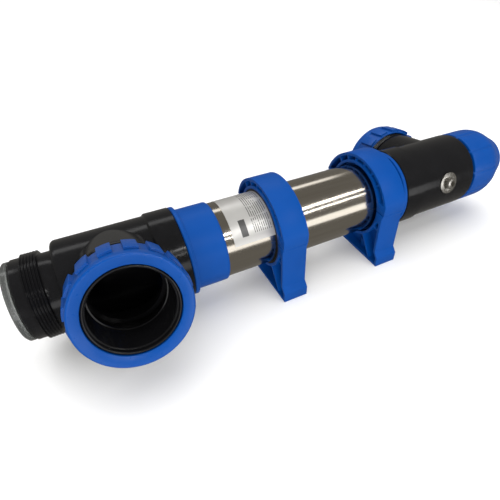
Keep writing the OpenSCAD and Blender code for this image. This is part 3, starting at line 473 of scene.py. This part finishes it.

# %% [markdown]
# The union nut is the big blue ring that a hand turns, so it has raised pads all round: each pad rises
# steeply, runs level and falls steeply again. The ring is turned first. Then every pad's faces are picked
# by their angle, extruded, and scaled away from the axis, which lifts all of them at once. The two nuts
# are one shape.

# %% Model the union nut
PADS = 16
SIDES_PER_PAD = 12
PAD_SIDES = (1, 2, 3, 4, 5, 6, 7)
nut_back, nut_face, hole_radius, pad_radius = along("inlet_union_nut", *branches["inlet"])
nut_depth = nut_face - nut_back
PAD_HEIGHT, RIM_HEIGHT, RIM_LENGTH, NUT_WALL = 2.7, 0.8, 9, 6
DISH, THREAD_HEIGHT, THREAD_STEP, NUT_SIDE = 2, 1.4, 4, 2.3
valley_radius = pad_radius - PAD_HEIGHT
rim_radius = valley_radius + RIM_HEIGHT
chamber_radius = valley_radius - NUT_SIDE


def ridges(first, pitch, count, foot, crest, width=1.0):
    """Profile points of rounded thread ridges, from high to low."""
    made = []
    for turn in reversed(range(count)):
        top = first + turn * pitch
        flat = width * 0.3
        made += [(foot, top + width), (crest, top + flat), (crest, top - flat), (foot, top - width)]
    return made


def nut_profile():
    outside = [(valley_radius - 0.8, -nut_depth), (valley_radius, -nut_depth + 0.8),
               (valley_radius, -RIM_LENGTH - 0.6), (rim_radius, -RIM_LENGTH), (rim_radius, -1.7),
               (rim_radius - 0.5, -0.5), (rim_radius - 1.7, 0)]
    inside = [(hole_radius + 0.6, -DISH), (hole_radius, -DISH - 0.6), (hole_radius, -NUT_WALL),
              (chamber_radius, -NUT_WALL)]
    thread = ridges(-nut_depth + 5, THREAD_STEP, 3, chamber_radius, chamber_radius - THREAD_HEIGHT)
    mouth = [(chamber_radius, -nut_depth + 0.8), (chamber_radius + 0.8, -nut_depth)]
    return outside + inside + thread + mouth


nut = turned("inlet_grip_nut", nut_profile(), PADS * SIDES_PER_PAD)
unpick(nut)
for face in nut.data.polygons:
    centre = face.center
    turn_share = math.atan2(centre.y, centre.x) / math.tau % 1
    side = int(turn_share * PADS * SIDES_PER_PAD) % SIDES_PER_PAD
    outer = math.hypot(centre.x, centre.y) > (valley_radius - 0.3) * MM and abs(face.normal.z) < 0.1
    face.select = outer and side in PAD_SIDES and centre.z < -(RIM_LENGTH + 0.6) * MM
bpy.ops.object.mode_set(mode="EDIT")
bpy.ops.mesh.extrude_region_move()
grow = pad_radius / valley_radius
bpy.ops.transform.resize(value=(grow, grow, 1), center_override=(0, 0, 0))
bpy.ops.object.mode_set(mode="OBJECT")
round_edges(nut, 0.35)
PAD_CENTRE = (PAD_SIDES[0] + PAD_SIDES[-1] + 1) / 2 / SIDES_PER_PAD * math.tau / PADS


def pad_phase(side, origin, axis):
    """The angle of the middle of a pad of the CAD nut, as it would be if the nut stood on the origin."""
    back_turn = Vector(axis).rotation_difference(Vector((0, 0, 1))).to_matrix()
    stood = [back_turn @ (v.co - origin) for v in nodes[side + "_union_nut"].data.vertices]
    tops = [p for p in stood if math.hypot(p.x, p.y) / MM > pad_radius - 0.02]
    angles = {round(math.atan2(p.y, p.x) * PADS, 2) for p in tops}
    return math.atan2(sum(map(math.sin, angles)), sum(map(math.cos, angles))) / PADS


for side in ("outlet", "inlet"):
    origin, axis = branches[side]
    face_place = along(side + "_union_nut", origin, axis)[1]
    piece = nut
    if side == "outlet":
        piece = bpy.data.objects.new("outlet_grip_nut", nut.data.copy())
        bpy.context.scene.collection.objects.link(piece)
    piece.data.transform(Matrix.Rotation(pad_phase(side, origin, axis) - PAD_CENTRE, 4, "Z"))
    lay_along(piece, origin + axis * face_place * MM, axis)
    place_and_name(piece, side + "_union_nut", "blue_nut_plastic")
    print(piece.name, len(piece.data.polygons), "faces, face at", face_place)

# %% [markdown]
# The tail is the black end that the pipe is glued into. Its rim is a round bead and the socket behind it
# has a small lead-in chamfer and a stop. The section is the CAD one, with the bead drawn as a half circle
# of points.

# %% Model the union tails
tail_low, _, _, tail_flange = along("inlet_union_tail", *branches["inlet"])
BEAD, BEAD_SINK, MOUTH, CHAMFER = 2.2, 3, 7, 0.75
SOCKET, STOP, SOCKET_DEPTH, SKIRT = 31.65, 1.1, 30, 2.5
tail_outer = hole_radius - 0.5
seat_height = tail_low - nut_face
flange_front = -NUT_WALL - 0.3


def tail_profile():
    bead = BEAD / 2
    crown = [(tail_outer - bead + bead * math.cos(angle), -BEAD_SINK - bead + bead * math.sin(angle))
             for angle in (math.pi * step / 10 for step in range(11))]
    socket_end = -MOUTH - CHAMFER - SOCKET_DEPTH
    inside = [(tail_outer - BEAD, -MOUTH), (SOCKET + CHAMFER, -MOUTH), (SOCKET, -MOUTH - CHAMFER),
              (SOCKET, socket_end), (SOCKET - STOP, socket_end), (SOCKET - STOP, seat_height)]
    outside = [(SOCKET + SKIRT - 0.8, seat_height), (SOCKET + SKIRT, seat_height + 0.8),
               (SOCKET + SKIRT, tail_seat), (tail_flange, tail_seat), (tail_flange, flange_front),
               (tail_outer, flange_front)]
    return outside + crown + inside


def flange_back(node, origin, axis, flange_radius):
    """Where the flange starts: the lowest point along the axis that is as far out as the flange."""
    steps = [v.co - origin for v in nodes[node].data.vertices]
    rim = [step.dot(axis) for step in steps
           if abs((step - axis * step.dot(axis)).length / MM - flange_radius) < SAME_RADIUS]
    return min(rim) / MM


SAME_RADIUS = 0.05
tail_seat = flange_back("inlet_union_tail", *branches["inlet"], tail_flange) - nut_face
tail = turned("inlet_pipe_tail", tail_profile(), 128)
round_edges(tail, 0.12, 2, 40)
for side in ("outlet", "inlet"):
    origin, axis = branches[side]
    piece = tail
    if side == "outlet":
        piece = bpy.data.objects.new("outlet_pipe_tail", tail.data.copy())
        bpy.context.scene.collection.objects.link(piece)
    lay_along(piece, origin + axis * along(side + "_union_nut", origin, axis)[1] * MM, axis)
    place_and_name(piece, side + "_union_tail", "black_pvc")
    print(piece.name, len(piece.data.polygons), "faces")

# %% [markdown]
# The end cap unscrews to reach the lamp, so it has ten small grooves for the fingers, between ten broad
# flats. It is turned first, with a generous round where the straight side runs into the cone. A groove is
# made by picking the line of points at each tenth of the circle and scaling it a little towards the axis.

# %% Model the end cap
cap_axis = (Vector((0, 0, AXIS_HEIGHT)), Vector((1, 0, 0)))
cap_low, cap_high, gland_hole, cap_radius = along("end_cap", *cap_axis)
FLUTES, SIDES_PER_FLUTE = 10, 16
CAP_STRAIGHT, TIP_RADIUS, TIP_ROUND, CAP_ROUND = 35.2, 27.3, 2.5, 9
CAP_WALL, CAP_END, GROOVE = 4, 6, 1.1
cone_from, cone_to = cap_low + CAP_STRAIGHT, cap_high - TIP_ROUND
cone_angle = math.atan2(cone_to - cone_from, cap_radius - TIP_RADIUS)


def cap_profile():
    outside = [(cap_radius - 0.8, cap_low), (cap_radius, cap_low + 0.8), (cap_radius, cone_from - CAP_ROUND)]
    for step in range(1, 8):
        t = step / 8
        ahead = CAP_ROUND * t * t
        outside.append((cap_radius - ahead * math.cos(cone_angle),
                        cone_from - CAP_ROUND * (1 - t) ** 2 + ahead * math.sin(cone_angle)))
    tip = [(TIP_RADIUS - TIP_ROUND + TIP_ROUND * math.cos(angle), cone_to + TIP_ROUND * math.sin(angle))
           for angle in (math.pi / 2 * step / 6 for step in range(7))]
    slope = (cap_radius - TIP_RADIUS) / (cone_to - cone_from)
    inner_top = cap_high - CAP_END
    chamber = cap_radius - CAP_WALL
    inside = [(gland_hole, cap_high), (gland_hole, inner_top),
              (chamber - slope * (inner_top - cone_from), inner_top), (chamber, cone_from)]
    thread = ridges(cap_low + 8, THREAD_STEP, 3, chamber, chamber - THREAD_HEIGHT)
    return outside + tip + inside + thread + [(chamber, cap_low)]


cap = turned("fluted_end_cap", cap_profile(), FLUTES * SIDES_PER_FLUTE)
round_edges(cap, 0.3, 2)
unpick(cap)
SKIN, SHOULDER, CONE_FALL, TIP_CLEAR = 0.9, 3.2, 0.62, 1.08
for vertex in cap.data.vertices:
    turn_share = math.atan2(vertex.co.y, vertex.co.x) / math.tau
    side = round(turn_share * FLUTES * SIDES_PER_FLUTE) % SIDES_PER_FLUTE
    radius = math.hypot(vertex.co.x, vertex.co.y) / MM
    past_cone = vertex.co.z / MM - cone_from
    cone_skin = max(TIP_RADIUS * TIP_CLEAR, cap_radius - SHOULDER - CONE_FALL * past_cone)
    on_cone = past_cone > 0 and radius > cone_skin
    vertex.select = side == 0 and (radius > cap_radius - SKIN or on_cone)
bpy.ops.object.mode_set(mode="EDIT")
sink = 1 - GROOVE / cap_radius
bpy.ops.transform.resize(value=(sink, sink, 1), center_override=(0, 0, 0))
bpy.ops.object.mode_set(mode="OBJECT")
lay_along(cap, *cap_axis)
place_and_name(cap, "end_cap", "blue_nut_plastic")
print("cap", len(cap.data.polygons), "faces")

# %% [markdown]
# The floor is matt paper, a touch uneven. Plain white would do, but a little variation keeps the shadow
# soft.

# %% The floor's own finish
floor_finish = finish("floor_paper", (0.95, 0.95, 0.95), (0.93, 0.93, 0.93), (0.55, 0.7), patch=2, grain=300,
                      bump=0.02)
floor.data.materials.append(floor_finish)
